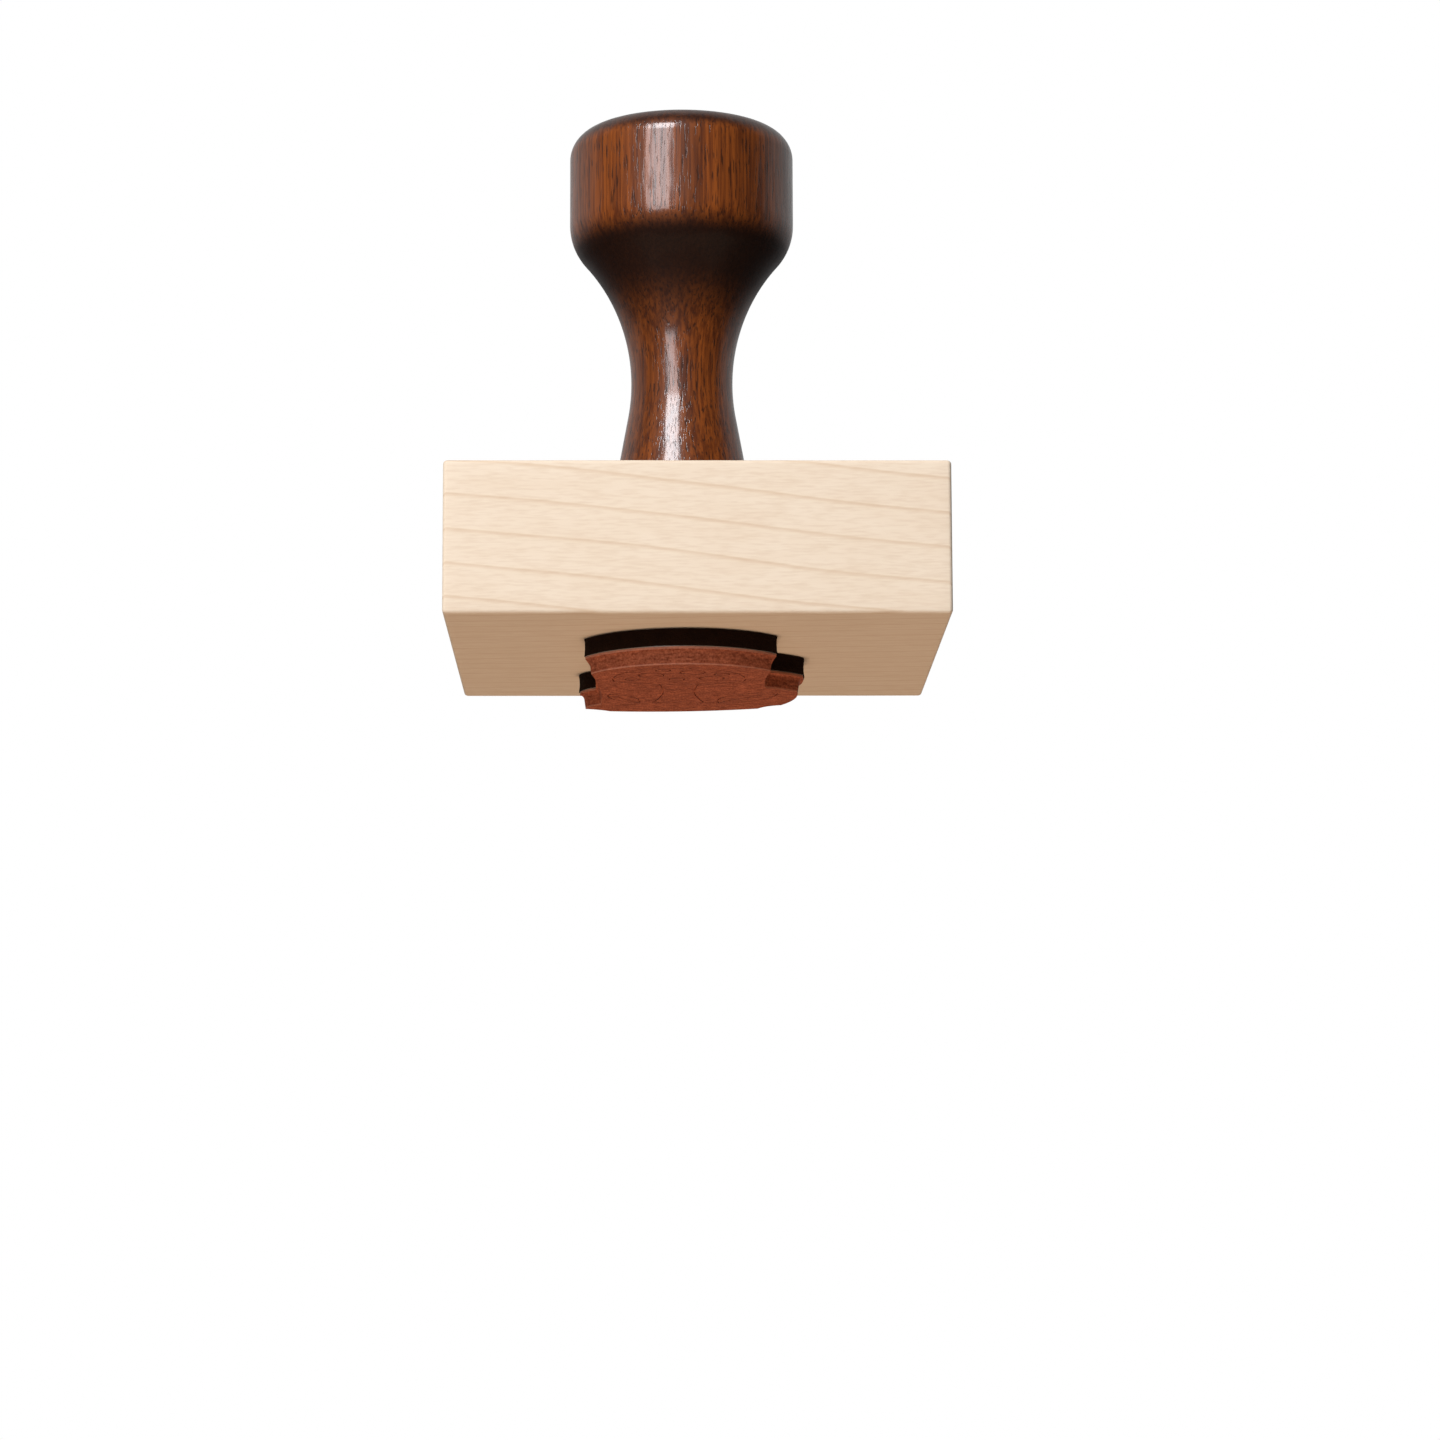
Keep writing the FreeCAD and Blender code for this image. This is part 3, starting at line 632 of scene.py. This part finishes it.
# The outline of the die and its cushion, on a unit square from its front left corner: each corner, and a
# point that the arc from it to the next corner passes through.
DIE_OUTLINE = (
    ((0.040, 0.204), (0.440, 0.000)),
    ((0.865, 0.151), (0.850, 0.291)),
    ((0.850, 0.464), (0.927, 0.508)),
    ((0.995, 0.564), (0.990, 0.722)),
    ((0.927, 0.865), (0.867, 0.888)),
    ((0.830, 0.936), (0.487, 1.000)),
    ((0.127, 0.995), (0.080, 0.964)),
    ((0.002, 0.941), (0.023, 0.865)),
    ((0.073, 0.821), (0.072, 0.495)),
)


def arc_through(start, middle, end, spacing):
    """Points on the arc through three points, from the first to one step short of the last.

    Its centre is equally far from all three. They are taken as complex numbers, moved, turned and scaled so
    that start is 0 and middle is 1, which makes that one equation. The arc goes round by way of middle.
    """
    start, middle, end = (complex(*point) for point in (start, middle, end))
    ratio = (end - start) / (middle - start)
    centre = start + (middle - start) * (ratio - abs(ratio) ** 2) / (2j * ratio.imag)
    first, last = np.angle(start - centre), np.angle(end - centre)
    anticlockwise = ratio.imag > 0
    sweep = (last - first) % (2 * math.pi) if anticlockwise else -((first - last) % (2 * math.pi))
    radius = abs(start - centre)
    count = math.ceil(abs(sweep) * radius / spacing)
    angle = first + sweep * np.arange(count) / count
    across, up = centre.real + radius * np.cos(angle), centre.imag + radius * np.sin(angle)
    return np.stack([across, up], axis=1)


def cut_foam(material):
    """The foam cushion: the die's outline carried up through the sheet, ring by ring.

    The blade leaves the wall hollowed, deepest half way up, as a parabola of the height. Open cells pit a
    quarter of the wall at random, less near its top and bottom. Both only ever cut into the sheet, so the
    cushion stays within its outline.
    """
    low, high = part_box("foam_cushion")
    low, high = np.array(low), np.array(high)
    spacing, hollow, pit = 0.22 * MM, 0.10 * MM, 0.07 * MM
    # The share of the wall that is pitted, and the share of the full hollow from which pits are full.
    pitted_share, full_pits = 0.25, 0.25
    levels, seed = 15, 11
    size = (high - low)[:2]
    corners = [np.array(corner) * size for corner, _ in DIE_OUTLINE]
    bows = [np.array(bow) * size for _, bow in DIE_OUTLINE]
    followers = corners[1:] + corners[:1]
    outline = np.concatenate([arc_through(*trio, spacing) for trio in zip(corners, bows, followers)])
    outline = (outline - outline.min(axis=0)) / np.ptp(outline, axis=0) * size + low[:2]
    # The way along the outline, over two points to each side. Inwards is to its left.
    along = np.roll(outline, -2, axis=0) - np.roll(outline, 2, axis=0)
    inwards = np.stack([-along[:, 1], along[:, 0]], axis=1)
    inwards /= np.linalg.norm(inwards, axis=1, keepdims=True)

    up = np.linspace(0, 1, levels)
    thickness = high[2] - low[2]
    # From 0 at both faces to 1 half way up.
    between = (4 * up * (1 - up))[:, None]
    draw = np.random.default_rng(seed).random((levels, len(outline)))
    cells = np.clip((draw - (1 - pitted_share)) / pitted_share, 0, 1) * np.minimum(1, between / full_pits)
    depth = hollow * between + pit * cells
    plan = outline[None] + inwards[None] * depth[..., None]
    heights = np.broadcast_to((low[2] + up * thickness)[:, None, None], (levels, len(outline), 1))
    piece = skin("foam_cushion_cut", np.concatenate([plan, heights], axis=2), STAMP, material)
    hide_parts("foam_cushion")
    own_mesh(piece)
    return piece


# ---------------------------------------------------------------- stage


def look(location, forward, lens):
    """A camera that looks along forward: its yaw, pitch and roll in degrees.

    Yaw turns it to the right of +Y, pitch tilts it up, and roll lifts its right side.
    """
    yaw, pitch, roll = (math.radians(angle) for angle in forward)
    ahead = np.array(
        [math.sin(yaw) * math.cos(pitch), math.cos(yaw) * math.cos(pitch), math.sin(pitch)]
    )
    level = np.array([math.cos(yaw), -math.sin(yaw), 0.0])
    over = np.cross(level, ahead)
    right = math.cos(roll) * level + math.sin(roll) * over
    up = math.cos(roll) * over - math.sin(roll) * level
    turn = Matrix(np.column_stack([right, up, -ahead]).tolist())
    data = bpy.data.cameras.new("camera")
    data.lens = lens
    data.clip_start, data.clip_end = 0.01, 20.0
    camera = bpy.data.objects.new("camera", data)
    camera.matrix_world = Matrix.Translation(location) @ turn.to_4x4()
    bpy.context.scene.collection.objects.link(camera)
    bpy.context.scene.camera = camera


def softbox(name, azimuth, elevation, distance, width, height, power, colour):
    """A rectangular lamp that faces the stamp's middle, with its angles in degrees and its power in watts.

    Azimuth 0 is in front, and positive is to the right.
    """
    middle = sum((np.array(corner) for corner in cad_bounds), np.zeros(3)) / 2
    round_by, up_by = math.radians(azimuth), math.radians(elevation)
    level = np.array([math.sin(round_by), -math.cos(round_by), 0.0])
    away = level * math.cos(up_by) + np.array([0.0, 0.0, math.sin(up_by)])
    across = np.array([math.cos(round_by), math.sin(round_by), 0.0])
    data = bpy.data.lights.new(name, "AREA")
    data.shape = "RECTANGLE"
    data.size, data.size_y = width, height
    data.energy = power
    data.color = linear(colour)[:3]
    lamp = bpy.data.objects.new(name, data)
    turn = Matrix(np.column_stack([across, np.cross(away, across), away]).tolist())
    lamp.matrix_world = Matrix.Translation((middle + away * distance).tolist()) @ turn.to_4x4()
    lamp.visible_camera = False
    bpy.context.scene.collection.objects.link(lamp)


def pale_floor_paint():
    """Matte off-white paint, rolled on, so it is even with a faint cloudiness."""
    material, tree, place = new_material("pale_floor_paint")
    cloud_mm = 333.3
    cloud = noise(tree, place, (cloud_mm,) * 3, detail=2.0)
    colour = add(
        tree,
        "Mix",
        {FACTOR: cloud, COLOUR_A: linear("F0EEEA"), COLOUR_B: linear("F3F1EE")},
        data_type="RGBA",
    ).outputs[COLOUR_OUT]
    finish_material(tree, add(tree, "BsdfPrincipled", {"Base Color": colour, "Roughness": 0.9}))
    return material


def pale_floor(material, drop, reach):
    """A plain round floor, far enough under the stamp to let the camera look up at it."""
    around = 128
    turn = np.linspace(0, 2 * math.pi, around, endpoint=False)
    rim = np.column_stack([reach * np.cos(turn), reach * np.sin(turn), np.full(around, -drop)])
    mesh = bpy.data.meshes.new("floor")
    mesh.from_pydata(rim.tolist(), [], [list(range(around))])
    mesh.materials.append(material)
    floor = bpy.data.objects.new("floor", mesh)
    bpy.context.scene.collection.objects.link(floor)


def studio_air(seen, back, front):
    """The world: white where the camera sees it. It lights the stamp softly from behind, as a white
    backdrop does, and hardly at all from the front, where the room is dark.
    """
    world = bpy.data.worlds.new("studio")
    world.use_nodes = True
    tree = world.node_tree
    tree.nodes.clear()
    direction = add(tree, "SeparateXYZ", {"Vector": add(tree, "TexCoord").outputs["Generated"]})
    inputs = {VALUE: direction.outputs["Y"], FROM_MIN: -0.15, FROM_MAX: 0.35}
    behind = add(tree, "MapRange", inputs, interpolation_type="SMOOTHSTEP").outputs[0]
    inputs = {VALUE: direction.outputs["Z"], FROM_MIN: -0.30, FROM_MAX: 0.0}
    above = add(tree, "MapRange", inputs, interpolation_type="SMOOTHSTEP").outputs[0]
    share = add(tree, "Math", {A: behind, B: above}, operation="MULTIPLY").outputs[0]
    level = add(tree, "MapRange", {VALUE: share, TO_MIN: front, TO_MAX: back}).outputs[0]
    camera_ray = add(tree, "LightPath").outputs["Is Camera Ray"]
    white = add(tree, "Background", {"Color": linear("FFFFFF"), "Strength": seen}).outputs[0]
    dim = add(tree, "Background", {"Color": linear("FFFFFF"), "Strength": level}).outputs[0]
    mix = add(tree, "MixShader", {FACTOR: camera_ray, SHADER_A: dim, SHADER_B: white}).outputs[0]
    add(tree, "OutputWorld", {"Surface": mix})
    bpy.context.scene.world = world


# ---------------------------------------------------------------- the stamp

bpy.context.scene.view_settings.view_transform = "Standard"

stained_wood = stained_and_lacquered_beech()
maple = sanded_maple()
rubber = moulded_gum_rubber()
foam = closed_cell_foam()
film = acrylic_film()
steel = zinc_plated_steel()

for node, material in (
    ("handle", stained_wood),
    ("mount_block", maple),
    ("rubber_die", rubber),
    ("foam_cushion", foam),
    ("block_film", film),
    ("die_film", film),
    ("handle_screw", steel),
):
    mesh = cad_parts[node].data
    mesh.materials.clear()
    mesh.materials.append(material)

turned_handle(stained_wood)
maple_block(maple)
cut_foam(foam)

look(location=(-0.0055474, -0.5491065, -0.0911245), forward=(0.91422, 9.03622, -0.196435), lens=105.92)
# The key is two lamps, one over the other. The floor's warm bounce comes from below.
for name, azimuth, elevation, distance, width, height, power, colour in (
    ("key_high", -22, 37, 0.9, 0.34, 0.34, 6.9, "FCFBFF"),
    ("key_low", -23, 8, 0.9, 0.36, 0.56, 4.6, "FCFBFF"),
    ("from_below", 0, -90, 0.5, 0.30, 0.30, 1.05, "FFD6B2"),
):
    softbox(name, azimuth, elevation, distance, width, height, power, colour)
pale_floor(pale_floor_paint(), drop=0.65, reach=0.4)
studio_air(seen=1.0, back=0.40, front=0.03)
